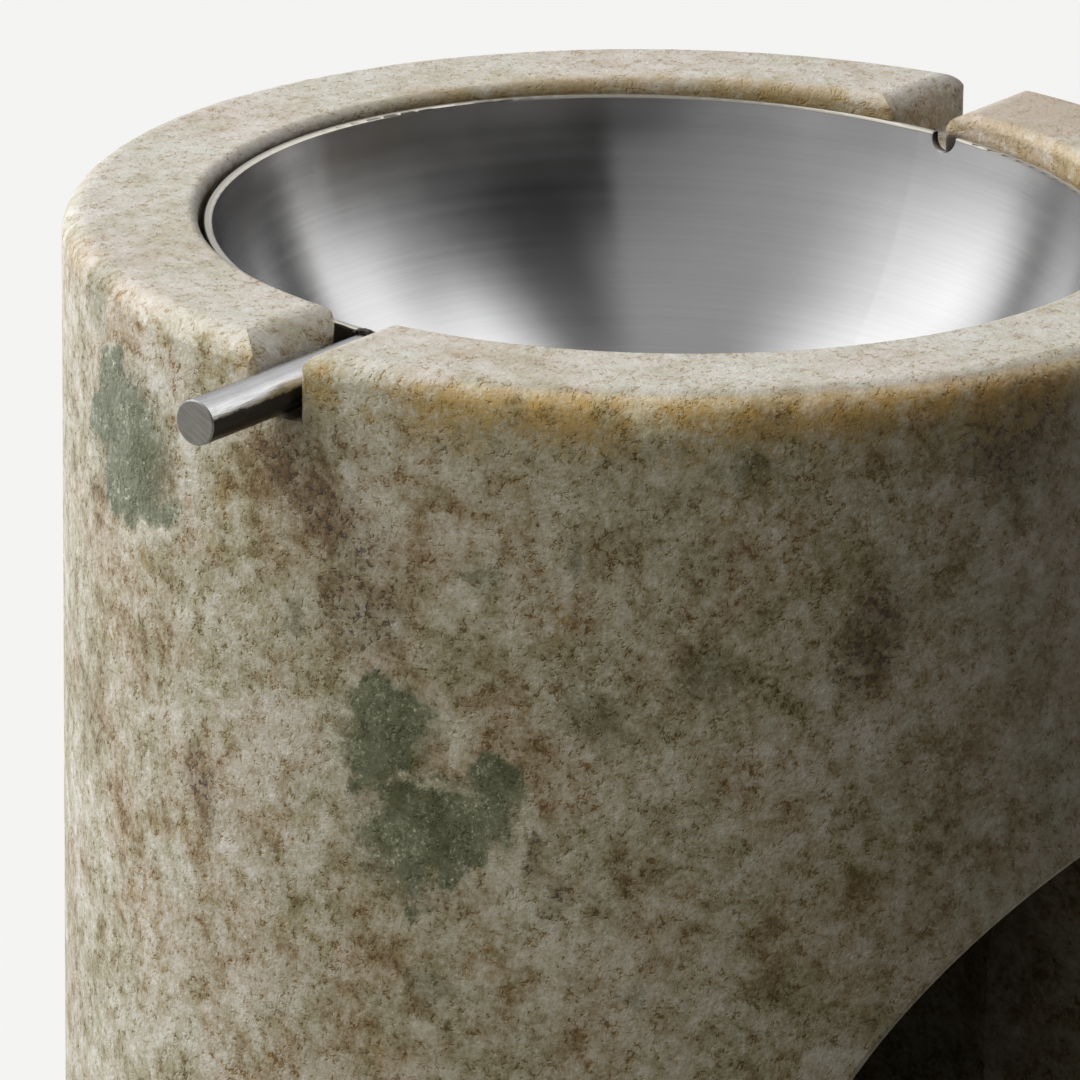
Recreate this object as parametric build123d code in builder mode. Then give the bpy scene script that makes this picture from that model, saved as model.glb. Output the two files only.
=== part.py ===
"""Essential oil burner: a hollow stone cylinder, a steel bowl with a rod handle, and a tealight under it.

The stone is turned and drilled from one block. Its upper bore takes the bowl, which drops in until its
round flank stands over a seat. The chamber below it opens to the front (-Y) through an arch, where the
tealight slides in on the level. Two slots cross the ring at the top: the handle lies in the one at -X,
and the one at +X is empty. The origin is under the middle of the felt pad, with +Z up.
"""

import os
from math import hypot, radians, sin, sqrt

from build123d import *

os.makedirs("parts", exist_ok=True)

# Stone body
body_diameter = 80.0
body_height = 90.0
top_edge_radius = 1.7
base_edge_radius = 1.0
ring_width = 9.0
chamber_wall = 12.0
floor_thickness = 8.0
bore_edge_radius = 0.8
seat_edge_chamfer = 0.6

# Arch at the front of the candle chamber
arch_radius = 26.2
arch_centre_below_top = 59.7
arch_edge_radius = 0.6

# Slots across the ring, cut by hand a little behind the middle
slot_width = 3.5
slot_offset = 1.3
handle_slot_depth = 4.6
far_slot_depth = 3.4
slot_shoulder_radius = 1.5
slot_corner_radius = 0.4
handle_shoulder_radius = 2.5
far_shoulder_radius = 3.2
near_corner_radius = 0.8
soft_corner_radius = 2.0

# Felt pad glued under the stone
pad_diameter = 62.0
pad_thickness = 1.0

# Steel bowl
bowl_rim_gap = 0.4
bowl_depth = 25.0
bowl_wall = 0.6
bowl_below_top = 1.4
bowl_lip_radius = 0.2
bowl_lean = 1.4
bowl_seat_clearance = 0.3
notch_width = 2.0
notch_depth = 1.2
notch_turn = 4.0

# Rod handle and its weld
handle_diameter = 3.0
handle_reach = 8.4
handle_slot_clearance = 0.2
handle_end_chamfer = 0.1
weld_leg = 0.5

# Tealight
cup_diameter = 38.0
cup_height = 15.0
cup_wall = 0.4
cup_base_radius = 1.0
cup_lip_width = 0.6
cup_lip_height = 0.8
cup_lip_radius = 0.3
wax_height = 12.0
wax_clearance = 0.05
wick_diameter = 1.3
wick_above_wax = 5.0
wick_clearance = 0.05
sustainer_diameter = 12.0
sustainer_thickness = 0.3
neck_wall = 0.4
neck_height = 3.0

# How far a cutting shape runs past the face it cuts, and how close two places count as one
overrun = 5.0
same_place = 0.001

body_radius = body_diameter / 2
bore_radius = body_radius - ring_width
chamber_radius = body_radius - chamber_wall
body_bottom = pad_thickness
body_top = body_bottom + body_height
floor_top = body_bottom + floor_thickness
arch_centre = body_top - arch_centre_below_top

# The bowl is a cap of a sphere, so its rim and its depth give the sphere's radius and centre
rim_radius = bore_radius - bowl_rim_gap
rim_top = body_top - bowl_below_top
sphere_radius = (rim_radius**2 + bowl_depth**2) / (2 * bowl_depth)
sphere_centre = rim_top - bowl_depth + sphere_radius
inner_sphere_radius = sphere_radius - bowl_wall

# The lower edge of the seat's chamfer comes nearest to the bowl, and stands clear of it all round
seat_edge = sphere_centre - sqrt((sphere_radius + bowl_seat_clearance) ** 2 - chamber_radius**2)
seat_top = seat_edge + seat_edge_chamfer

handle_radius = handle_diameter / 2
handle_end = body_radius + handle_reach
handle_centre = body_top - handle_slot_depth + handle_slot_clearance + handle_radius
# The lean carries the rod sideways, so it's drawn off the slot's middle by as much
handle_shift = (sphere_centre - handle_centre) * sin(radians(bowl_lean))
handle_offset = slot_offset - handle_shift
handle_root = sqrt(sphere_radius**2 - (sphere_centre - handle_centre) ** 2)

cup_radius = cup_diameter / 2
cup_top = floor_top + cup_height
cup_floor = floor_top + cup_wall
wax_radius = cup_radius - cup_wall - wax_clearance
wax_top = cup_floor + wax_height
wick_radius = wick_diameter / 2
neck_bore_radius = wick_radius + wick_clearance
neck_radius = neck_bore_radius + neck_wall
neck_top = cup_floor + neck_height
sustainer_radius = sustainer_diameter / 2
sustainer_top = cup_floor + sustainer_thickness


# The slots' four banks: the side of the burner, the side of the slot, the radius onto the ring's top, and
# the radii of the upright corners at the bore and at the outer wall
slot_banks = (
    (-1, -1, slot_shoulder_radius, soft_corner_radius, slot_corner_radius),
    (-1, 1, handle_shoulder_radius, soft_corner_radius, near_corner_radius),
    (1, -1, far_shoulder_radius, soft_corner_radius, soft_corner_radius),
    (1, 1, slot_shoulder_radius, slot_corner_radius, slot_corner_radius),
)


# The bowl, its weld and its rod lean down towards the arch's side, about the middle of the sphere, so the
# flank keeps to its seat
lean_axis = Axis((0, 0, sphere_centre), (1, 0, 0))


def corner(section, across, up):
    """The corner of a section that lies nearest to a place."""
    return section.vertices().sort_by_distance((across, up))[0]


def on_outer_wall(edge):
    """Whether an edge of the stone lies on its outer wall, around the arch."""
    return all(
        abs(hypot(v.X, v.Y) - body_radius) < same_place and abs(v.X) < arch_radius + same_place
        for v in edge.vertices()
    ) and floor_top - same_place < edge.center().Z < arch_centre + arch_radius


with BuildPart() as stone_body:
    with BuildSketch(Plane.XZ) as wall_section:
        with BuildLine():
            Polyline(
                (0, body_bottom),
                (body_radius, body_bottom),
                (body_radius, body_top),
                (bore_radius, body_top),
                (bore_radius, seat_top),
                (chamber_radius, seat_top),
                (chamber_radius, floor_top),
                (0, floor_top),
                close=True,
            )
        make_face()
        fillet(corner(wall_section, body_radius, body_top), top_edge_radius)
        fillet(corner(wall_section, body_radius, body_bottom), base_edge_radius)
        fillet(corner(wall_section, bore_radius, body_top), bore_edge_radius)
        chamfer(corner(wall_section, chamber_radius, seat_top), seat_edge_chamfer)
    revolve(axis=Axis.Z)

    # The arch: a round head on straight legs that stand on the chamber's floor
    with BuildSketch(Plane.XZ):
        with BuildLine():
            Line((arch_radius, floor_top), (arch_radius, arch_centre))
            CenterArc((0, arch_centre), arch_radius, 0, 180)
            Polyline(
                (-arch_radius, arch_centre),
                (-arch_radius, floor_top),
                (arch_radius, floor_top),
            )
        make_face()
    extrude(amount=body_radius + overrun, mode=Mode.SUBTRACT)
    fillet(stone_body.edges().filter_by(on_outer_wall), arch_edge_radius)

    # The ring's plan around the slots, with its upright corners rounded
    with BuildSketch(Plane.XY, mode=Mode.PRIVATE) as ring_plan:
        Circle(body_radius)
        Circle(bore_radius, mode=Mode.SUBTRACT)
        with Locations((0, slot_offset)):
            Rectangle(body_diameter, slot_width, mode=Mode.SUBTRACT)
        for side, bank, shoulder_radius, bore_corner, wall_corner in slot_banks:
            bank_wall = slot_offset + bank * slot_width / 2
            fillet(corner(ring_plan, side * bore_radius, bank_wall), bore_corner)
            fillet(corner(ring_plan, side * body_radius, bank_wall), wall_corner)

    ring_middle = body_radius - ring_width / 2
    slot_length = ring_width + 2 * overrun
    flare_width = slot_width + 4 * soft_corner_radius
    for side, depth in ((-1, handle_slot_depth), (1, far_slot_depth)):
        with BuildSketch(Plane.XY.offset(body_top - depth)):
            with Locations((side * ring_middle, slot_offset)):
                Rectangle(slot_length, flare_width)
            add(ring_plan.sketch, mode=Mode.SUBTRACT)
        extrude(amount=depth + overrun, mode=Mode.SUBTRACT)

    # The slots' shoulders, rounded over onto the ring's top
    for side, bank, shoulder_radius, bore_corner, wall_corner in slot_banks:
        reach = slot_width / 2 + shoulder_radius
        with BuildSketch(Plane.YZ):
            with Locations((slot_offset + bank * reach / 2, body_top - shoulder_radius)):
                Rectangle(reach, shoulder_radius + overrun, align=(Align.CENTER, Align.MIN))
            with Locations((slot_offset + bank * reach, body_top - shoulder_radius)):
                Circle(shoulder_radius, mode=Mode.SUBTRACT)
        extrude(amount=side * (body_radius + overrun), mode=Mode.SUBTRACT)

stone_body.part.label = "stone_body"
export_step(stone_body.part, "parts/stone_body.step")


with BuildPart() as base_pad:
    Cylinder(pad_diameter / 2, pad_thickness, align=(Align.CENTER, Align.CENTER, Align.MIN))

base_pad.part.label = "base_pad"
export_step(base_pad.part, "parts/base_pad.step")


with BuildPart() as oil_bowl:
    with BuildSketch(Plane.XZ) as bowl_section:
        with Locations((0, sphere_centre)):
            Circle(sphere_radius)
            Circle(inner_sphere_radius, mode=Mode.SUBTRACT)
        with Locations((0, rim_top)):
            Rectangle(rim_radius, bowl_depth + overrun, align=(Align.MIN, Align.MAX), mode=Mode.INTERSECT)
        lip = bowl_section.vertices().group_by(Axis.Y)[-1]
        fillet(lip, bowl_lip_radius)
    revolve(axis=Axis.Z)

    # The small round notch in the rim, across from the handle
    with Locations((0, 0, rim_top - notch_depth + notch_width / 2)):
        with PolarLocations(rim_radius, 1, start_angle=-notch_turn):
            Cylinder(notch_width / 2, 2 * overrun, rotation=(0, 90, 0), mode=Mode.SUBTRACT)

leant_oil_bowl = oil_bowl.part.rotate(lean_axis, bowl_lean)
leant_oil_bowl.label = "oil_bowl"
export_step(leant_oil_bowl, "parts/oil_bowl.step")


with BuildPart() as bowl_handle:
    with BuildSketch(Plane.YZ.offset(-handle_end)):
        with Locations((handle_offset, handle_centre)):
            Circle(handle_radius)
    extrude(amount=handle_end)
    chamfer(bowl_handle.edges().group_by(Axis.X)[0], handle_end_chamfer)
    # The rod's inner end is ground to the bowl's round flank
    with Locations((0, 0, sphere_centre)):
        Sphere(sphere_radius, mode=Mode.SUBTRACT)

leant_bowl_handle = bowl_handle.part.rotate(lean_axis, bowl_lean)
leant_bowl_handle.label = "bowl_handle"
export_step(leant_bowl_handle, "parts/bowl_handle.step")


with BuildPart() as handle_weld:
    rod_plane = Plane(origin=(-handle_root, handle_offset, handle_centre), x_dir=(-1, 0, 0), z_dir=(0, -1, 0))
    with BuildSketch(rod_plane):
        with BuildLine():
            Polyline(
                (-bowl_wall, handle_radius),
                (weld_leg, handle_radius),
                (0, handle_radius + weld_leg),
                (-bowl_wall, handle_radius + weld_leg),
                close=True,
            )
        make_face()
    revolve(axis=Axis((0, handle_offset, handle_centre), (1, 0, 0)))
    with Locations((0, 0, sphere_centre)):
        Sphere(sphere_radius, mode=Mode.SUBTRACT)
    # The bead stops short of the rim, so nothing stands above it
    with BuildSketch(Plane.XY.offset(rim_top - weld_leg)):
        Circle(body_radius)
    extrude(amount=overrun, mode=Mode.SUBTRACT)

leant_handle_weld = handle_weld.part.rotate(lean_axis, bowl_lean)
leant_handle_weld.label = "handle_weld"
export_step(leant_handle_weld, "parts/handle_weld.step")


with BuildPart() as candle_cup:
    with BuildSketch(Plane.XZ) as cup_section:
        with BuildLine():
            Polyline(
                (0, floor_top),
                (cup_radius, floor_top),
                (cup_radius, cup_top - cup_lip_height),
                (cup_radius + cup_lip_width, cup_top - cup_lip_height),
                (cup_radius + cup_lip_width, cup_top),
                (cup_radius - cup_wall, cup_top),
                (cup_radius - cup_wall, cup_floor),
                (0, cup_floor),
                close=True,
            )
        make_face()
        fillet(corner(cup_section, cup_radius, floor_top), cup_base_radius)
        fillet(corner(cup_section, cup_radius + cup_lip_width, cup_top), cup_lip_radius)
        fillet(corner(cup_section, cup_radius + cup_lip_width, cup_top - cup_lip_height), cup_lip_radius)
    revolve(axis=Axis.Z)

candle_cup.part.label = "candle_cup"
export_step(candle_cup.part, "parts/candle_cup.step")


with BuildPart() as candle_wax:
    with BuildSketch(Plane.XZ):
        with BuildLine():
            Polyline(
                (sustainer_radius + wax_clearance, cup_floor),
                (wax_radius, cup_floor),
                (wax_radius, wax_top),
                (wick_radius + wax_clearance, wax_top),
                (wick_radius + wax_clearance, neck_top + wax_clearance),
                (neck_radius + wax_clearance, neck_top + wax_clearance),
                (neck_radius + wax_clearance, sustainer_top + wax_clearance),
                (sustainer_radius + wax_clearance, sustainer_top + wax_clearance),
                close=True,
            )
        make_face()
    revolve(axis=Axis.Z)

candle_wax.part.label = "candle_wax"
export_step(candle_wax.part, "parts/candle_wax.step")


with BuildPart() as wick_sustainer:
    with BuildSketch(Plane.XZ):
        with BuildLine():
            Polyline(
                (neck_bore_radius, cup_floor),
                (sustainer_radius, cup_floor),
                (sustainer_radius, sustainer_top),
                (neck_radius, sustainer_top),
                (neck_radius, neck_top),
                (neck_bore_radius, neck_top),
                close=True,
            )
        make_face()
    revolve(axis=Axis.Z)

wick_sustainer.part.label = "wick_sustainer"
export_step(wick_sustainer.part, "parts/wick_sustainer.step")


with BuildPart() as candle_wick:
    with BuildSketch(Plane.XY.offset(cup_floor)):
        Circle(wick_radius)
    extrude(amount=wax_height + wick_above_wax)

candle_wick.part.label = "candle_wick"
export_step(candle_wick.part, "parts/candle_wick.step")
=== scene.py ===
import math

import bmesh
import bpy
from mathutils import Matrix, Vector


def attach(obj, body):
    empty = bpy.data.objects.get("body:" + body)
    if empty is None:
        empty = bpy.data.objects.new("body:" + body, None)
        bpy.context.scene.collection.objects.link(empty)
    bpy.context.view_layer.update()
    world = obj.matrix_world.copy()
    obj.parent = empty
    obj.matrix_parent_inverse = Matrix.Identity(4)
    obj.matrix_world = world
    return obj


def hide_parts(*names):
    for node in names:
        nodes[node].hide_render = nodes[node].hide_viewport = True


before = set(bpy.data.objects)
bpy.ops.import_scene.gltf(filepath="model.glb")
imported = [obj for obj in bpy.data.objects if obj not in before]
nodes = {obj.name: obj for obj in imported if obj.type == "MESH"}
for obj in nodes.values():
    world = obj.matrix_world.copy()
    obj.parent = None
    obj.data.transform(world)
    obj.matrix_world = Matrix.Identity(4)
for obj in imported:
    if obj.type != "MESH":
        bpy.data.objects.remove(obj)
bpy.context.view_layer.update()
mm = 0.001


# ---- Stone body ----
# A thick-walled cylinder of mottled marble, turned and bored from one block, with two
# slots sawn across its ring and an arch milled through its wall. Its outside is honed:
# taupe crystals, ochre and brown flecks, and a few green-grey inclusions.


class Wire:
    """A socket of a node tree. Sums on wires add the Math nodes that work them out."""

    def __init__(self, tree, socket=None):
        self.tree = tree
        self.socket = socket

    def node(self, kind, settings, feeds, out=0):
        """Adds a node: its settings first, then a value or a wire for each socket."""
        made = self.tree.nodes.new(kind)
        for name, value in settings.items():
            if name == "stops":
                stops = made.color_ramp.elements
                for count, (place, colour) in enumerate(value):
                    stop = stops[count] if count < 2 else stops.new(place)
                    stop.position = place
                    stop.color = (*colour, 1.0)
            else:
                setattr(made, name, value)
        for name, value in feeds.items():
            if isinstance(value, Wire):
                self.tree.links.new(value.socket, made.inputs[name])
            else:
                made.inputs[name].default_value = value
        return Wire(self.tree, made.outputs[out])

    def sum(self, operation, *terms):
        return self.node("ShaderNodeMath", {"operation": operation}, dict(enumerate(terms)))

    def __add__(self, other):
        return self.sum("ADD", self, other)

    def __sub__(self, other):
        return self.sum("SUBTRACT", self, other)

    def __mul__(self, other):
        return self.sum("MULTIPLY", self, other)

    def __pow__(self, other):
        return self.sum("POWER", self, other)

    def __rsub__(self, other):
        return self.sum("SUBTRACT", other, self)

    def least(self, other):
        return self.sum("MINIMUM", self, other)

    def most(self, other):
        return self.sum("MAXIMUM", self, other)

    def step(self, low, high, start=0.0, end=1.0):
        """Eases from start to end while this wire goes from low to high."""
        return self.node(
            "ShaderNodeMapRange",
            {"interpolation_type": "SMOOTHSTEP"},
            {"Value": self, "From Min": low, "From Max": high, "To Min": start, "To Max": end},
        )

    def off(self, level):
        """How far this wire is from a level, to either side."""
        return self.sum("ABSOLUTE", self - level)

    def ramp(self, stops):
        """A colour for this wire's value, from stops given as places and colours."""
        return self.node("ShaderNodeValToRGB", {"stops": stops}, {"Fac": self})

    def move(self, operation, other, out=0):
        return self.node(
            "ShaderNodeVectorMath", {"operation": operation}, {0: self, 1: other}, out
        )

    def dot(self, way):
        return self.move("DOT_PRODUCT", way, "Value")

    def length(self):
        return self.move("LENGTH", (0, 0, 0), "Value")

    def place(self, centre=(0, 0, 0), turn=(0, 0, 0), size=(1, 1, 1)):
        """These coordinates as seen from a box at centre, turned, of that size."""
        return self.node(
            "ShaderNodeMapping",
            {"vector_type": "TEXTURE"},
            {"Vector": self, "Location": centre, "Rotation": turn, "Scale": size},
        )

    def noise(self, scale, detail=2.0, rough=0.5, out=0):
        return self.node(
            "ShaderNodeTexNoise",
            {},
            {"Vector": self, "Scale": scale, "Detail": detail, "Roughness": rough},
            out,
        )

    def cells(self, scale, out):
        return self.node("ShaderNodeTexVoronoi", {}, {"Vector": self, "Scale": scale}, out)

    def part(self, axis):
        return self.node("ShaderNodeSeparateXYZ", {}, {0: self}, axis)

    def paint(self, under, over, blend="MIX"):
        """The colour under, with the colour over laid on it where this wire is 1."""
        feeds = {0: self}
        for slot, colour in ((6, under), (7, over)):
            feeds[slot] = colour if isinstance(colour, Wire) else (*colour, 1.0)
        return self.node("ShaderNodeMix", {"data_type": "RGBA", "blend_type": blend}, feeds, 2)

    def bump(self, distance, strength):
        feeds = {"Height": self, "Distance": distance, "Strength": strength}
        return self.node("ShaderNodeBump", {}, feeds)


def finish(name):
    """A new material, as its Principled shader and the wire of its Object coordinates."""
    material = bpy.data.materials.new(name)
    material.use_nodes = True
    tree = material.node_tree
    shader = tree.nodes["Principled BSDF"]
    coords = Wire(tree).node("ShaderNodeTexCoord", {}, {}, "Object")
    return material, shader, coords


def coat(shader, **feeds):
    """Feeds the shader's sockets, an underscore in a name standing for a space."""
    for name, value in feeds.items():
        socket = shader.inputs[name.replace("_", " ")]
        if isinstance(value, Wire):
            value.tree.links.new(value.socket, socket)
        else:
            socket.default_value = value


def dress(piece, material):
    piece.data.materials.clear()
    piece.data.materials.append(material)


marble, shader, coords = finish("honed marble")
wall_radius = 40 * mm

# Each spot: azimuth and height of its middle, half depth, half width, half height in mm,
# and its lean in degrees. The first five green ones lie beside and below the handle.
green_spots = [
    (156.6, 80.9, 5.0, 6.9, 6.5, -16),
    (189.8, 67.0, 5.0, 4.7, 3.9, 10),
    (192.0, 60.0, 6.0, 4.5, 5.2, 12),
    (197.2, 61.8, 4.0, 3.7, 3.6, 0),
    (200.8, 63.0, 4.0, 2.6, 3.9, 8),
    (104.0, 52.0, 6.0, 4.6, 6.4, 20),
    (62.0, 33.0, 6.0, 6.2, 4.4, -25),
    (18.0, 66.0, 5.0, 3.4, 4.8, 10),
    (-38.0, 27.0, 6.0, 5.2, 5.8, 35),
    (-61.0, 72.0, 4.0, 3.0, 2.4, -20),
]
faint_spots = [
    (209.9, 69.5, 3.0, 3.1, 2.6, 0),
    (199.2, 78.3, 2.0, 1.8, 1.2, 20),
    (223.4, 86.2, 3.0, 2.4, 1.7, 0),
    (219.6, 72.2, 3.0, 2.8, 2.4, 0),
    (148.5, 89.0, 3.0, 2.8, 3.4, 10),
    (194.7, 50.3, 2.0, 2.1, 1.4, 0),
    (214.4, 50.9, 2.0, 1.2, 1.2, 0),
    (207.9, 79.9, 2.0, 1.0, 1.5, 0),
    (180.2, 73.2, 2.0, 1.1, 2.0, 0),
    (84.0, 77.0, 4.0, 4.0, 3.0, 30),
    (-12.0, 40.0, 4.0, 3.6, 5.0, -30),
]
chalk_spots = [
    (159.9, 75.4, 1.5, 1.7, 0.9, 0),
    (167.0, 81.6, 3.0, 1.6, 5.2, 10),
    (152.4, 67.4, 1.5, 0.7, 0.9, 0),
    (196.6, 66.4, 2.0, 3.4, 0.6, 56),
    (193.6, 63.9, 2.0, 2.8, 0.45, 4),
    (184.0, 65.0, 3.0, 1.5, 3.6, -8),
    (178.6, 66.0, 3.0, 3.0, 4.6, 8),
    (204.0, 62.4, 2.0, 1.3, 1.9, 0),
    (236.0, 66.0, 3.0, 1.4, 5.2, 14),
    (40.0, 70.0, 2.0, 3.0, 1.0, 30),
]
dark_spots = [
    (184.4, 80.6, 6.0, 5.6, 2.4, -36),
    (179.2, 83.6, 4.0, 3.2, 2.0, -20),
    (187.4, 74.6, 4.0, 3.0, 3.4, 30),
    (168.4, 59.6, 4.0, 1.6, 3.2, 12),
    (204.4, 59.8, 1.5, 0.6, 1.6, -12),
    (206.4, 56.9, 2.0, 0.9, 1.8, -20),
    (235.4, 74.0, 4.0, 2.4, 4.4, -16),
    (249.0, 86.0, 5.0, 4.0, 3.2, 0),
    (-70.0, 50.0, 6.0, 9.0, 3.0, 30),
    (90.0, 20.0, 6.0, 9.0, 3.5, -25),
    (10.0, 80.0, 4.0, 7.0, 2.6, 24),
]


def nearest(points, spots):
    """How far a point is from the nearest spot: 1 at a spot's edge, 0 at its middle."""
    found = None
    for azimuth, height, deep, wide, tall, lean in spots:
        turn = math.radians(azimuth)
        centre = (wall_radius * math.cos(turn), wall_radius * math.sin(turn), height * mm)
        inside = points.place(
            centre, (math.radians(lean), 0, turn), (deep * mm, wide * mm, tall * mm)
        )
        reach = inside.length()
        found = reach if found is None else found.least(reach)
    return found


wander = coords.noise(420, 3.0, 0.7, "Color").move("SUBTRACT", (0.5, 0.5, 0.5))
warped = coords.move("ADD", wander.move("MULTIPLY", (3 * mm, 3 * mm, 3 * mm)))

# One tone runs through the stone at every scale, from clouds of 10 mm to the single crystals.
# Where it falls the stone is browner, and where it rises it is paler and greyer.
cloud = coords.noise(80, 3.0, 0.55)
blotch = coords.place((0.03, 0.04, 0.01)).noise(230, 5.0, 0.86)
mottle = coords.place((0.02, 0.09, 0.03)).noise(640, 4.0, 0.85)
drift = coords.place((0.07, 0.02, 0.01)).noise(120, 5.0, 0.72)
gloom = nearest(warped, dark_spots).step(1.45, 0.35)
chalk = nearest(warped, chalk_spots).step(1.50, 0.30)
tone = cloud * 0.45 + blotch * 1.40 + mottle * 1.10 - 0.945 - gloom * 0.17 + chalk * 0.16

# Short curled flecks of brown mineral, and pale strokes painted in as highlights where crystals
# catch the light.
curl = warped.noise(800, 2.0, 0.6)
thin = curl.off(0.5).step(0.055, 0.004)
crystal = coords.noise(2000, 2.0, 0.7)
fleck = thin * crystal.step(0.55, 0.40) * (mottle - gloom * 0.12).step(0.58, 0.44)
glint = coords.noise(3300, 2.0, 0.6)
painted_glint = warped.noise(1500, 1.0, 0.5)
painted_glint = painted_glint.off(0.5).step(0.026, 0.006) * glint.step(0.52, 0.64)
tone = tone + (crystal - 0.5) * 0.12 + painted_glint * 0.16 - fleck * 0.26

# The ring's top is ground finer than the wall, and it is also painted paler with its flecks
# faded, as painted sheen where it mirrors the pale backdrop at a grazing angle.
height = coords.part(2)
honed_top_and_sheen = height.step(89.7 * mm, 90.9 * mm)
tone = tone + (0.70 - tone) * honed_top_and_sheen * 0.52

warm = tone.ramp(
    [
        (0.0, (0.080, 0.040, 0.012)),
        (0.25, (0.228, 0.152, 0.076)),
        (0.45, (0.405, 0.332, 0.235)),
        (0.62, (0.545, 0.488, 0.412)),
        (0.80, (0.665, 0.625, 0.585)),
        (1.0, (0.785, 0.765, 0.740)),
    ]
)
olive = tone.ramp(
    [
        (0.0, (0.068, 0.046, 0.013)),
        (0.25, (0.205, 0.158, 0.078)),
        (0.45, (0.375, 0.336, 0.230)),
        (0.62, (0.515, 0.486, 0.400)),
        (0.80, (0.645, 0.628, 0.575)),
        (1.0, (0.770, 0.765, 0.715)),
    ]
)
colour = drift.step(0.42, 0.58).paint(warm, olive)
colour = (gloom * 0.28).paint(colour, (0.165, 0.128, 0.105))

# A bed of ochre lies under the top edge, and wisps of it run through the whole block.
facing = coords.dot((-0.78, -0.62, 0.0)).step(22 * mm, 40 * mm, 0.10, 1.0)
ochre_bed_and_light = (height + mottle * 0.011).step(91.1 * mm, 93.8 * mm)
ochre_bed_and_light = ochre_bed_and_light * height.step(90.9 * mm, 90.1 * mm) * facing * tone.step(0.85, 0.40)
wisp = coords.place((0.01, 0.05, 0.02)).noise(210, 5.0, 0.75)
ochre = wisp.step(0.57, 0.72) * tone.step(0.80, 0.45) * 0.5
colour = ochre.paint(colour, (0.375, 0.255, 0.080))
# The bed is ochre, and on one side it is painted brighter as painted light where the edge
# catches the lamps.
colour = (ochre_bed_and_light * wisp.step(0.36, 0.56) * 0.80).paint(colour, (0.54, 0.375, 0.150))
# On one side the rounded top edge is painted paler than the stone below it, as painted light
# where the rounding catches the lamps.
painted_edge_light = (height + blotch * 0.003).step(89.4 * mm, 90.9 * mm)
painted_edge_light = painted_edge_light * height.step(90.9 * mm, 90.4 * mm)
painted_edge_light = painted_edge_light * coords.dot((-0.574, -0.819, 0.0)).step(28 * mm, 36 * mm)
colour = painted_edge_light.paint(colour, (1.50, 1.36, 1.10), "MULTIPLY")
# Some of the flecks are rust, most of all near the top.
near_top = height.step(86.5 * mm, 89.5 * mm)
rusty = fleck * (drift.step(0.62, 0.44) * 0.38).most(near_top * 0.55)
colour = rusty.paint(colour, (0.33, 0.195, 0.070))

# Ochre also follows the bore's edge on the side away from the handle.
from_axis = coords.move("MULTIPLY", (1.0, 1.0, 0.0)).length()
bore_bed = (from_axis - wisp * 0.006).step(30.0 * mm, 27.7 * mm)
bore_bed = bore_bed * height.step(87.0 * mm, 88.5 * mm)
bore_bed = bore_bed * coords.dot((0.97, 0.26, 0.0)).step(10 * mm, 24 * mm)
colour = (bore_bed * tone.step(0.95, 0.50) * 0.75).paint(colour, (0.40, 0.285, 0.125))

# The stone is browner beside the far slot, and painted darker there as painted shade on the
# slot's shoulder.
tan_and_shade = coords.place((38.5 * mm, -8.5 * mm, 91 * mm), size=(10 * mm, 9 * mm, 10 * mm))
tan_and_shade = (tan_and_shade.length() + mottle * 0.6).step(1.75, 0.65)
colour = (tan_and_shade * 0.74).paint(colour, (0.39, 0.29, 0.19))

# A nearly black patch is painted on the stone where the rim's notch meets it, as painted shade
# for the shadowed gap seen through the notch.
notch_shade = coords.place((31.6 * mm, -2.2 * mm, 88.4 * mm), size=(3.0 * mm, 1.9 * mm, 1.3 * mm))
notch_shade = notch_shade.length().step(1.15, 0.55)
colour = (notch_shade * 0.92).paint(colour, (0.028, 0.026, 0.034))

# Green-grey inclusions, sharp on one side and fading on the other.
shifted = (mottle + wisp - 1.0) * 0.36 + (crystal - 0.5) * 0.18
green_reach = nearest(warped, green_spots) + shifted
faint_reach = nearest(warped, faint_spots) + shifted * 1.4
blur = coords.noise(230, 2.0, 0.5).step(0.40, 0.60, 0.15, 0.75)
green = green_reach.node(
    "ShaderNodeMapRange",
    {"interpolation_type": "SMOOTHSTEP"},
    {"Value": 1.05 - green_reach, "From Min": 0.0, "From Max": blur},
)
green = green.most(faint_reach.step(1.20, 0.20, 0.0, 0.6))
# Pale straw flecks and chalk speckle the inclusions, and the painted glint highlights show in
# them too.
straw = glint.step(0.50, 0.60) * curl.step(0.36, 0.56)
speckled = tone * 0.85 + straw * 0.22 + painted_glint * 0.22 + chalk * 0.30 - 0.10
green_colour = speckled.ramp(
    [
        (0.0, (0.070, 0.076, 0.036)),
        (0.25, (0.118, 0.132, 0.082)),
        (0.50, (0.195, 0.216, 0.152)),
        (0.78, (0.425, 0.440, 0.330)),
        (1.0, (0.690, 0.695, 0.570)),
    ]
)
colour = (green * 0.95 * (1 - chalk * 0.35)).paint(colour, green_colour)
soot = crystal.step(0.46, 0.36) * gloom
colour = (soot * 0.75).paint(colour, (0.055, 0.048, 0.055))

# The chamber is painted nearly black, more so towards the bowl, as soot from the flame and as
# painted shade inside the chamber.
soot_and_shade = (from_axis + mottle * 0.004).step(34.5 * mm, 30.0 * mm)
soot_and_shade = soot_and_shade * height.step(12 * mm, 55 * mm, 0.15, 0.8) * height.step(70.5 * mm, 66.0 * mm)
colour = soot_and_shade.paint(colour, (0.035, 0.030, 0.024))

relief = crystal * 0.8 + glint * 0.5 - fleck * 0.5
coat(
    shader,
    Base_Color=colour,
    Roughness=crystal * 0.20 + fleck * 0.10 + 0.25 - honed_top_and_sheen * 0.03,
    Normal=relief.bump(0.00009, 0.8),
    IOR=1.5,
)
dress(nodes["stone_body"], marble)


# ---- Base pad ----
# A disc of dark pressed wool felt, die-cut and glued under the stone, so that it stands
# softly and doesn't scratch the table.

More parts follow.
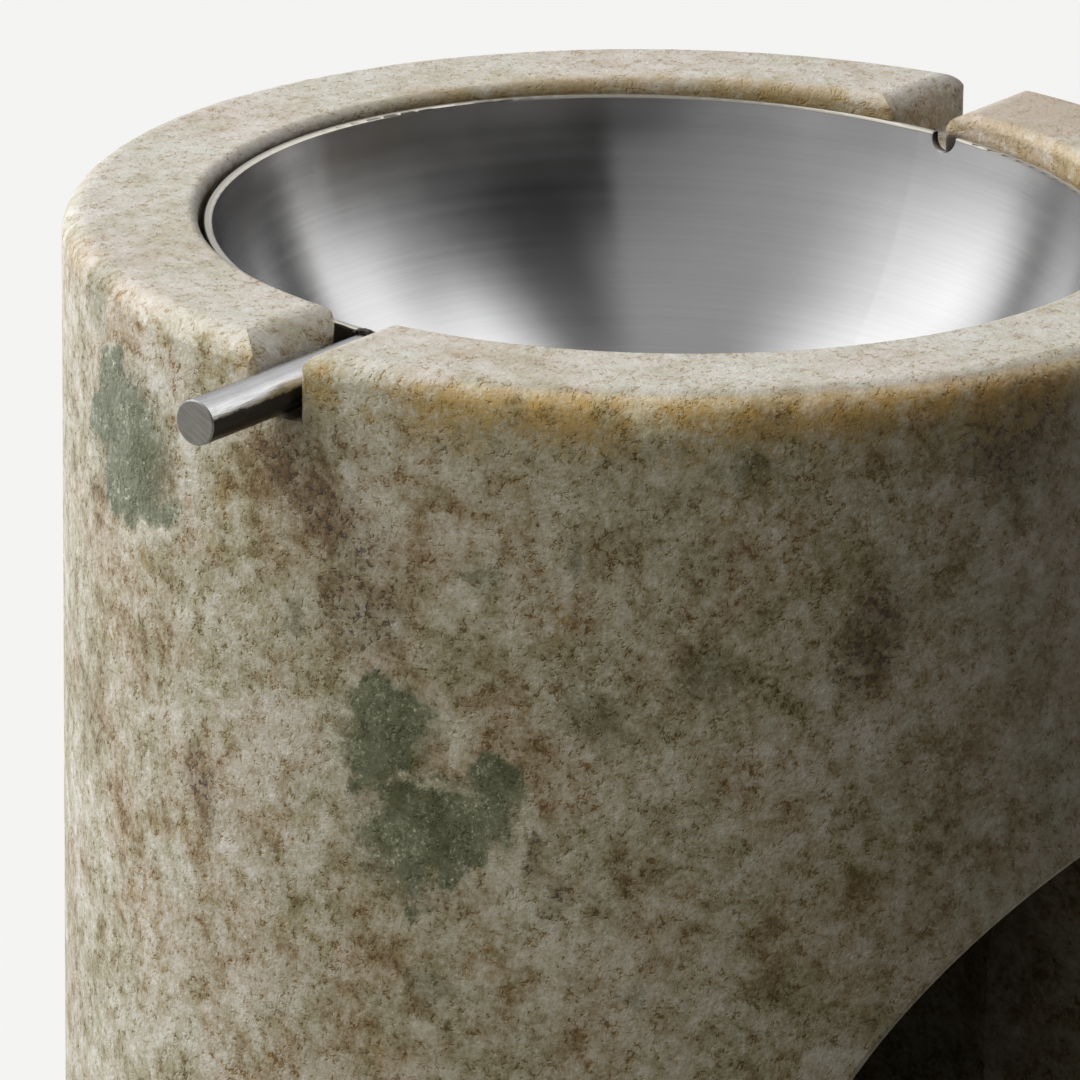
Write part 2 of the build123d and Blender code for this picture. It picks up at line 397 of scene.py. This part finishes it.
felt, shader, coords = finish("pressed wool felt")
tufts = coords.noise(900, 5.0, 0.7)
fibres = coords.place(size=(1.0, 0.12, 1.0)).noise(2600, 3.0, 0.65)
crossed = coords.place(turn=(0, 0, 1.1), size=(1.0, 0.12, 1.0)).noise(2600, 3.0, 0.65)
wool = fibres.most(crossed)
pressed = (tufts * 0.5 + wool * 0.5).step(0.35, 0.72)
coat(
    shader,
    Base_Color=pressed.paint((0.010, 0.010, 0.011), (0.05, 0.05, 0.054)),
    Roughness=0.95,
    Normal=(wool + tufts * 0.6).bump(0.0003, 0.8),
    Sheen_Weight=0.25,
    Sheen_Roughness=0.5,
)
dress(nodes["base_pad"], felt)


# ---- Oil bowl ----
# A shallow bowl spun from thin stainless sheet, which hangs in the stone's bore. Its
# inside is brushed round and round, so light draws out into streaks from rim to middle.

# It leans a little towards the arch, about the middle of the sphere that its flank lies on.
flank_radius = 31.227 * mm
flank_centre_z = 95.827 * mm
bowl_lean = math.radians(1.4)

spun, shader, coords = finish("steel brushed in rings")
leant = coords.place((0, 0, flank_centre_z), (bowl_lean, 0, 0))
across = leant.part(0)
along = leant.part(1)
radius = (across * across + along * along) ** 0.5
rise = leant.part(2)
waver = coords.noise(60, 3.0, 0.6) * 0.0006
round_and_round = rise.node("ShaderNodeCombineXYZ", {}, {0: radius, 1: rise, 2: waver})
groove = round_and_round.noise(5200, 4.0, 0.75)
wide_groove = round_and_round.noise(1100, 3.0, 0.6)
smear = coords.noise(140, 4.0, 0.6)
brushed = (groove * 0.4 + wide_groove * 0.3 + smear * 0.3).step(0.3, 0.7)
steel = brushed.paint((0.56, 0.56, 0.565), (0.63, 0.63, 0.632))
# The rim's edge is painted a dull cream, as a painted reflection of the stone beside it.
rim_reflection = rise.step(-6.48 * mm, -6.40 * mm)
steel = (rim_reflection * 0.85).paint(steel, (0.50, 0.47, 0.40))
# The inside is painted darker in a band under the rim, on one side.
dark_band = leant.dot((0.5, 0.866, 0.0)).step(25 * mm, 28 * mm)
dark_band = dark_band * rise.step(-10.2 * mm, -7.8 * mm) * (1 - rim_reflection)
steel = (dark_band * 0.5).paint(steel, (0.22, 0.22, 0.225))
# The notch in the rim and the steel round it are painted black, as painted shade for the dark
# gap seen through the notch.
notch = (30.5 * mm, -2.1 * mm, -6.4 * mm)
rim_notch_shade = leant.move("DISTANCE", notch, "Value").step(1.35 * mm, 0.95 * mm)
coat(
    shader,
    Base_Color=(rim_notch_shade * 0.94).paint(steel, (0.020, 0.020, 0.030)),
    Metallic=1.0,
    Roughness=wide_groove * 0.05 + smear * 0.08 + 0.12,
    Anisotropic=0.9,
    Anisotropic_Rotation=0.25,
    Normal=(groove + wide_groove * 0.4).bump(0.000003, 0.5),
)
dress(nodes["oil_bowl"], spun)


# ---- Bowl handle ----
# One straight piece of drawn stainless rod, cut off square, its end dressed on a belt.
# It is welded to the bowl's flank and lies in the near slot.

# Its place is counted from the middle of the sphere, before the bowl's lean.
rod_axis_y = 1.111 * mm
rod_axis_z = -7.727 * mm
rod_end_x = -48.28 * mm
rod, shader, coords = finish("drawn steel rod")
coords = coords.place((0, 0, flank_centre_z), (bowl_lean, 0, 0))
drawn = coords.place(size=(12.0, 1.0, 1.0)).noise(5200, 3.0, 0.7)
dressed = coords.place(turn=(math.radians(-62), 0, 0), size=(1.0, 1.0, 14.0))
dressed = dressed.noise(6200, 3.0, 0.7)
cut_end = (rod_end_x - coords.part(0)).step(0.0, 0.03 * mm)
scratch = cut_end.node(
    "ShaderNodeMix", {"data_type": "FLOAT"}, {0: cut_end, 2: drawn, 3: dressed}, 0
)
stain = coords.noise(700, 4.0, 0.7)
worn = (scratch * 0.7 + stain * 0.3).step(0.36, 0.64)
steel = worn.paint((0.46, 0.46, 0.465), (0.64, 0.64, 0.64))
# The underside is painted nearly black up to a ragged line, as heat tint from the flame and as a
# painted dark reflection, and a polished strip is left between it and the top, which is painted
# duller as painted shade.
rise = coords.part(2) - rod_axis_z
painted_top_shade = (rise - 1.05 * mm).step(0.0, 0.3 * mm) * (1 - cut_end)
steel = (painted_top_shade * 0.55).paint(steel, (0.34, 0.34, 0.35))
tint_and_dark_reflection = (stain * 0.0006 + 0.3 * mm - rise).step(0.0, 0.2 * mm)
tint_and_dark_reflection = tint_and_dark_reflection * (1 - cut_end) * 0.95
coat(
    shader,
    Base_Color=tint_and_dark_reflection.paint(steel, (0.045, 0.046, 0.052)),
    Metallic=1.0,
    Roughness=stain * 0.12 + cut_end * 0.16 + 0.2,
    Normal=scratch.bump(0.00003, 0.7),
)
dress(nodes["bowl_handle"], rod)


# ---- Handle weld ----
# The bead that joins the rod to the bowl's flank: one pass of weld run round the rod,
# left as laid, with its small ripples and a straw and grey bloom from the heat.

rod_radius = 1.5 * mm
bead_radius = 0.24 * mm
bead_gap = 0.07 * mm
bead_sink = 0.16 * mm
lean = Matrix.Translation((0, 0, flank_centre_z)) @ Matrix.Rotation(bowl_lean, 4, "X")


def flank(y, z):
    """Where the bowl's outside lies on its handle side, from the middle of its sphere."""
    return -math.sqrt(flank_radius**2 - y * y - z * z)


def own(bm, name):
    """A bmesh made into an object of the scene, smooth-shaded, its faces outwards."""
    bmesh.ops.remove_doubles(bm, verts=bm.verts, dist=0.000001)
    bmesh.ops.recalc_face_normals(bm, faces=bm.faces)
    for face in bm.faces:
        face.smooth = True
    mesh = bpy.data.meshes.new(name)
    bm.to_mesh(mesh)
    bm.free()
    piece = bpy.data.objects.new(name, mesh)
    bpy.context.scene.collection.objects.link(piece)
    return piece


bm = bmesh.new()
bmesh.ops.create_circle(bm, segments=14, radius=bead_radius, cap_ends=False)
bmesh.ops.transform(
    bm,
    matrix=Matrix.Translation((0, 0, rod_radius + bead_gap))
    @ Matrix.Rotation(math.pi / 2, 4, "X"),
    verts=bm.verts,
)
bmesh.ops.spin(
    bm,
    geom=bm.verts[:] + bm.edges[:],
    cent=(0, 0, 0),
    axis=(1, 0, 0),
    angle=math.tau,
    steps=120,
    use_merge=True,
)
for vert in bm.verts:
    angle = math.atan2(vert.co.y, vert.co.z)
    ripple = abs(math.sin(angle * 11 + 0.5 * math.sin(angle * 3)))
    out = Vector((0, vert.co.y, vert.co.z)).normalized()
    vert.co += out * ripple * 0.045 * mm
    vert.co.x -= ripple * 0.04 * mm
    y = vert.co.y + rod_axis_y
    z = vert.co.z + rod_axis_z
    vert.co = lean @ Vector((vert.co.x + flank(y, z) - bead_sink, y, z))
bead = own(bm, "weld_bead")

bloom, shader, coords = finish("weld bead")
heat = coords.noise(1300, 3.0, 0.6)
coat(
    shader,
    Base_Color=heat.step(0.38, 0.64).paint((0.06, 0.057, 0.055), (0.15, 0.13, 0.105)),
    Metallic=1.0,
    Roughness=heat * 0.2 + 0.28,
    Normal=coords.noise(4200, 3.0, 0.6).bump(0.00003, 0.5),
)
dress(bead, bloom)
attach(bead, "bowl")
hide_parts("handle_weld")


# ---- Candle cup ----
# The tealight's cup, drawn from thin aluminium: a flat floor with one pressed ring, a
# wall with soft upright flutes left by the drawing, and a rolled lip.

cup_floor_z = 9.0 * mm
cup_radius = 19.0 * mm


def turned(profile, steps):
    """A solid turned from its half profile, given as radii and heights."""
    bm = bmesh.new()
    verts = [bm.verts.new((r, 0, z)) for r, z in profile]
    for low, high in zip(verts, verts[1:]):
        bm.edges.new((low, high))
    bmesh.ops.spin(
        bm,
        geom=bm.verts[:] + bm.edges[:],
        cent=(0, 0, 0),
        axis=(0, 0, 1),
        angle=math.tau,
        steps=steps,
        use_merge=True,
    )
    return bm


outside = [
    (0.0, 0.00), (8.0, 0.00), (8.6, 0.22), (9.4, 0.22), (10.0, 0.0), (15.6, 0.0), (17.0, 0.04),
    (17.8, 0.26), (18.28, 0.66), (18.36, 1.2), (18.36, 3.0), (18.36, 6.0), (18.36, 9.0),
    (18.36, 12.0), (18.36, 13.9), (18.46, 14.1), (18.74, 14.08), (18.95, 14.28), (19.0, 14.56),
    (18.88, 14.84), (18.62, 15.0), (18.3, 14.98), (18.08, 14.8),
]
inside = [
    (18.0, 14.4), (18.0, 12.0), (18.0, 9.0), (18.0, 6.0), (18.0, 3.0), (17.98, 1.3),
    (17.88, 0.9), (17.5, 0.58), (16.9, 0.42), (15.6, 0.38), (10.1, 0.36), (9.4, 0.52),
    (8.6, 0.52), (7.9, 0.36), (0.0, 0.36),
]
profile = [(r * mm, z * mm + cup_floor_z) for r, z in outside + inside]
bm = turned(profile, 192)
for vert in bm.verts:
    r = math.hypot(vert.co.x, vert.co.y)
    tall = (vert.co.z - cup_floor_z) / mm
    if r > 17.9 * mm and 1.0 < tall < 14.2:
        angle = math.atan2(vert.co.y, vert.co.x)
        fade = min(1.0, (tall - 1.0) / 1.5, (14.2 - tall) / 1.2)
        shift = math.cos(angle * 48) * 0.05 * mm * fade
        vert.co.x *= 1 + shift / r
        vert.co.y *= 1 + shift / r
cup = own(bm, "tealight_cup")

foil, shader, coords = finish("drawn aluminium")
up_lines = coords.place(size=(1.0, 1.0, 9.0)).noise(3800, 3.0, 0.65)
dents = coords.noise(190, 3.0, 0.5)
coat(
    shader,
    Base_Color=up_lines.step(0.3, 0.7).paint((0.70, 0.70, 0.71), (0.82, 0.82, 0.825)),
    Metallic=1.0,
    Roughness=up_lines * 0.12 + dents * 0.10 + 0.20,
    Normal=(up_lines * 0.2 + dents).bump(0.00012, 0.7),
)
dress(cup, foil)
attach(cup, "candle")
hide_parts("candle_cup")


# ---- Candle wax ----
# The tealight's fill of white wax, poured hot: it climbs a little at the cup's wall and
# at the wick, and sinks between them as it sets.

wax_profile = [
    (0.0, 9.75), (9.0, 9.75), (15.2, 9.75), (16.9, 9.9), (17.6, 10.4), (17.86, 11.2),
    (17.86, 14.0), (17.86, 17.0), (17.86, 20.0), (17.86, 21.2), (17.80, 21.4), (17.4, 21.16),
    (16.8, 20.98), (15.6, 20.86), (13.2, 20.80), (10.0, 20.78), (6.6, 20.82), (4.2, 20.90),
    (2.6, 21.02), (1.6, 21.20), (1.0, 21.36), (0.0, 21.38),
]
bm = turned([(r * mm, z * mm) for r, z in wax_profile], 128)
for vert in bm.verts:
    if vert.co.z > 20.7 * mm and math.hypot(vert.co.x, vert.co.y) < 17.0 * mm:
        swell = math.sin(vert.co.x * 310 + 1.0) * math.cos(vert.co.y * 260 + 0.4)
        vert.co.z += swell * 0.05 * mm
fill = own(bm, "tealight_wax")

wax, shader, coords = finish("white candle wax")
bloomed = coords.noise(420, 4.0, 0.6)
frost = coords.noise(2400, 3.0, 0.65)
coat(
    shader,
    Base_Color=bloomed.step(0.35, 0.7).paint((0.80, 0.785, 0.735), (0.88, 0.87, 0.84)),
    Roughness=frost * 0.16 + 0.36,
    Normal=(bloomed + frost * 0.3).bump(0.00015, 0.5),
    Subsurface_Weight=0.6,
    Subsurface_Radius=(1.0, 0.9, 0.75),
    Subsurface_Scale=0.003,
    IOR=1.44,
)
dress(fill, wax)
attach(fill, "candle")
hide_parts("candle_wax")


# ---- Wick sustainer ----
# The little disc and neck of tinned sheet that grips the wick's foot and keeps it upright
# in the melt, stamped and crimped, and sunk in the wax.

tin, shader, coords = finish("tinned sheet")
spangle = coords.cells(900, "Color").part(0)
coat(
    shader,
    Base_Color=spangle.paint((0.52, 0.52, 0.53), (0.68, 0.68, 0.685)),
    Metallic=1.0,
    Roughness=spangle * 0.18 + 0.22,
    Normal=coords.noise(1500, 3.0, 0.6).bump(0.00004, 0.6),
)
dress(nodes["wick_sustainer"], tin)


# ---- Candle wick ----
# A cotton wick of three plaited strands, stiff with wax, which stands out of the fill
# and leans a little at its tip.

wick_radius = 0.65 * mm
wick_foot_z = 9.8 * mm
wick_length = 16.55 * mm
bm = bmesh.new()
made = bmesh.ops.create_circle(bm, segments=36, radius=wick_radius * 0.86, cap_ends=False)
for vert in made["verts"]:
    angle = math.atan2(vert.co.y, vert.co.x)
    vert.co *= 0.98 + 0.14 * abs(math.cos(angle * 1.5))
bmesh.ops.translate(bm, vec=(0, 0, wick_foot_z), verts=bm.verts)
loop = bm.edges[:]
levels = 84
plait_turn = Matrix.Rotation(math.radians(11), 3, "Z")
for level in range(levels):
    made = bmesh.ops.extrude_edge_only(bm, edges=loop)
    ring = [g for g in made["geom"] if isinstance(g, bmesh.types.BMVert)]
    edges = [g for g in made["geom"] if isinstance(g, bmesh.types.BMEdge)]
    loop = [edge for edge in edges if edge.verts[0] in ring and edge.verts[1] in ring]
    bmesh.ops.translate(bm, vec=(0, 0, wick_length / levels), verts=ring)
    bmesh.ops.rotate(bm, cent=(0, 0, 0), matrix=plait_turn, verts=ring)
foot = [edge for edge in bm.edges if edge.is_boundary and edge not in loop]
for edges in (loop, foot):
    bmesh.ops.holes_fill(bm, edges=edges, sides=0)
for vert in bm.verts:
    free = max(0.0, vert.co.z - 21.6 * mm) / (4.8 * mm)
    vert.co.x += free * free * 0.55 * mm
    vert.co.y -= free * free * 0.25 * mm
plait = own(bm, "tealight_wick")

cotton, shader, coords = finish("waxed cotton")
strands = coords.place(turn=(0.5, 0.3, 0), size=(1.0, 1.0, 5.0)).noise(6000, 3.0, 0.7)
twist = strands.step(0.3, 0.7).paint((0.60, 0.56, 0.47), (0.80, 0.77, 0.69))
tip = coords.part(2).step(24.5 * mm, 26.2 * mm)
coat(
    shader,
    Base_Color=tip.paint(twist, (0.70, 0.67, 0.60)),
    Roughness=strands * 0.2 + 0.55,
    Normal=strands.bump(0.00008, 0.8),
)
dress(plait, cotton)
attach(plait, "candle")
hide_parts("candle_wick")


# ---- Studio ----
# A plain pale sweep, bright behind the object and falling into shade in front of it, one
# soft lamp over the object, one at its left, and a warm fill between that and the camera.

bm = bmesh.new()
bmesh.ops.create_circle(bm, segments=96, radius=3.0, cap_ends=True)
floor = own(bm, "studio_floor")
pale, shader, coords = finish("pale floor")
coat(shader, Base_Color=(0.14, 0.13, 0.09, 1.0), Roughness=0.9)
tree = pale.node_tree
ray = Wire(tree).node("ShaderNodeLightPath", {}, {}, "Is Camera Ray")
shiny = Wire(tree).node("ShaderNodeLightPath", {}, {}, "Is Glossy Ray")
through = Wire(tree).node("ShaderNodeLightPath", {}, {}, "Is Transmission Ray")
white = ray.node("ShaderNodeEmission", {}, {"Color": (1, 1, 1, 1), "Strength": 1.0})
behind = coords.dot((0.813, 0.582, 0.0)).step(-0.12, 0.30, 0.08, 1.0)
seen = ray.most(behind * shiny.most(through)) * 0.88
plain = Wire(tree, shader.outputs[0])
mixed = seen.node("ShaderNodeMixShader", {}, {0: seen, 1: plain, 2: white})
tree.links.new(mixed.socket, tree.nodes["Material Output"].inputs["Surface"])
dress(floor, pale)


aim = Vector((0, 0, 60 * mm))


def soft_lamp(name, azimuth, elevation, distance, size, level, colour):
    """A square soft lamp that lights a surface facing it to level, 1 being as written."""
    lamp = bpy.data.lights.new(name, "AREA")
    lamp.shape = "SQUARE"
    lamp.size = size
    lamp.color = colour
    lamp.energy = level * math.pi**2 * distance**2
    holder = bpy.data.objects.new(name, lamp)
    bpy.context.scene.collection.objects.link(holder)
    turn, tilt = math.radians(azimuth), math.radians(elevation)
    away = Vector(
        (math.cos(turn) * math.cos(tilt), math.sin(turn) * math.cos(tilt), math.sin(tilt))
    )
    holder.location = away * distance + aim
    holder.rotation_euler = away.to_track_quat("Z", "Y").to_euler()
    holder.visible_glossy = False


soft_lamp("lamp_over", 145, 72, 0.9, 0.8, 0.50, (1.0, 1.0, 1.03))
soft_lamp("lamp_left", 95, 25, 0.9, 0.5, 1.20, (0.97, 1.0, 1.08))
soft_lamp("lamp_fill", 152, 30, 1.1, 0.9, 0.40, (1.05, 1.0, 0.78))

world = bpy.data.worlds.new("studio")
bpy.context.scene.world = world
world.use_nodes = True
tree = world.node_tree
look = Wire(tree).node("ShaderNodeTexCoord", {}, {}, "Generated")


def towards(azimuth, elevation, wide, narrow):
    """1 within narrow degrees of a direction, easing to 0 at wide degrees from it."""
    turn, tilt = math.radians(azimuth), math.radians(elevation)
    way = (math.cos(turn) * math.cos(tilt), math.sin(turn) * math.cos(tilt), math.sin(tilt))
    return look.dot(way).step(math.cos(math.radians(wide)), math.cos(math.radians(narrow)))


# The room as the steel sees it, by bearing: dark where the photographer stands, a bright
# window at the left and another at the back, and the pale backdrop between them. The three
# rings of it are what stands low, at half height and high up.
up = look.part(2)
bearing = up.sum("ARCTAN2", look.part(1), look.part(0)) * (1 / math.tau) + 0.5


def ring(*greys):
    """The room's brightness all round at one height, given as bearings and greys."""
    stops = [(turn / 360 + 0.5, (grey / 2, grey / 2, grey / 2)) for turn, grey in greys]
    return bearing.ramp(stops)


low = ring(
    (-180, 0.38), (-163, 0.22), (-150, 0.13), (-131, 0.07), (-126, 0.03), (-66, 0.03),
    (-54, 0.04), (-46, 0.10), (-38, 0.65), (-30, 1.60), (-21, 1.15), (-9, 0.45), (84, 0.40),
    (95, 0.45), (103, 1.10), (114, 1.30), (126, 0.95), (140, 0.66), (157, 0.46), (180, 0.38),
)
middle = ring(
    (-180, 0.46), (-158, 0.36), (-131, 0.22), (-127, 0.02), (-94, 0.02), (-76, 0.10),
    (-62, 0.42), (-52, 0.85), (-42, 1.40), (-28, 1.45), (-10, 1.20), (80, 0.60), (93, 0.75),
    (105, 1.50), (116, 1.75), (130, 1.40), (143, 1.10), (157, 0.74), (170, 0.52), (180, 0.46),
)
upper = ring(
    (-180, 0.46), (-130, 0.42), (-112, 0.12), (-92, 0.14), (-80, 0.50), (-64, 1.60), (-40, 1.60),
    (0, 1.20), (90, 1.20), (125, 1.75), (148, 0.95), (165, 0.60), (180, 0.46),
)
reflected = up.step(0.12, 0.46).paint(low, middle)
reflected = up.step(0.50, 0.80).paint(reflected, upper)
reflected = up.step(0.90, 0.98).paint(reflected, (0.21, 0.21, 0.21))
reflected = reflected.node("ShaderNodeRGBToBW", {}, {"Color": reflected}) * 2.0
diffused = towards(70, 30, 100, 30) * 0.06 + up.step(0.0, 1.0, 0.02, 0.08)
seen = Wire(tree).node("ShaderNodeLightPath", {}, {}, "Is Camera Ray")
shiny = Wire(tree).node("ShaderNodeLightPath", {}, {}, "Is Glossy Ray")
through = Wire(tree).node("ShaderNodeLightPath", {}, {}, "Is Transmission Ray")
mirrored = shiny.most(through)
level = diffused * (1 - mirrored.most(seen)) + reflected * mirrored + seen * 0.955
background = tree.nodes["Background"]
tree.links.new(level.socket, background.inputs["Strength"])
background.inputs["Color"].default_value = (1, 1, 1, 1)

# The camera stands where the photograph was taken from, with its long lens.
camera = bpy.data.cameras.new("camera")
camera.lens = 308.65
camera.sensor_width = 36
camera.clip_start = 0.01
holder = bpy.data.objects.new("camera", camera)
bpy.context.scene.collection.objects.link(holder)
eye = Vector((-0.47755, -0.34164, 0.26806))
turn = math.radians(-53.63)
down = math.radians(18.845)
roll = math.radians(0.733)
holder.matrix_world = (
    Matrix.Translation(eye)
    @ Matrix.Rotation(turn, 4, "Z")
    @ Matrix.Rotation(math.pi / 2 - down, 4, "X")
    @ Matrix.Rotation(roll, 4, "Z")
)
bpy.context.scene.camera = holder
bpy.context.scene.view_settings.view_transform = "Standard"
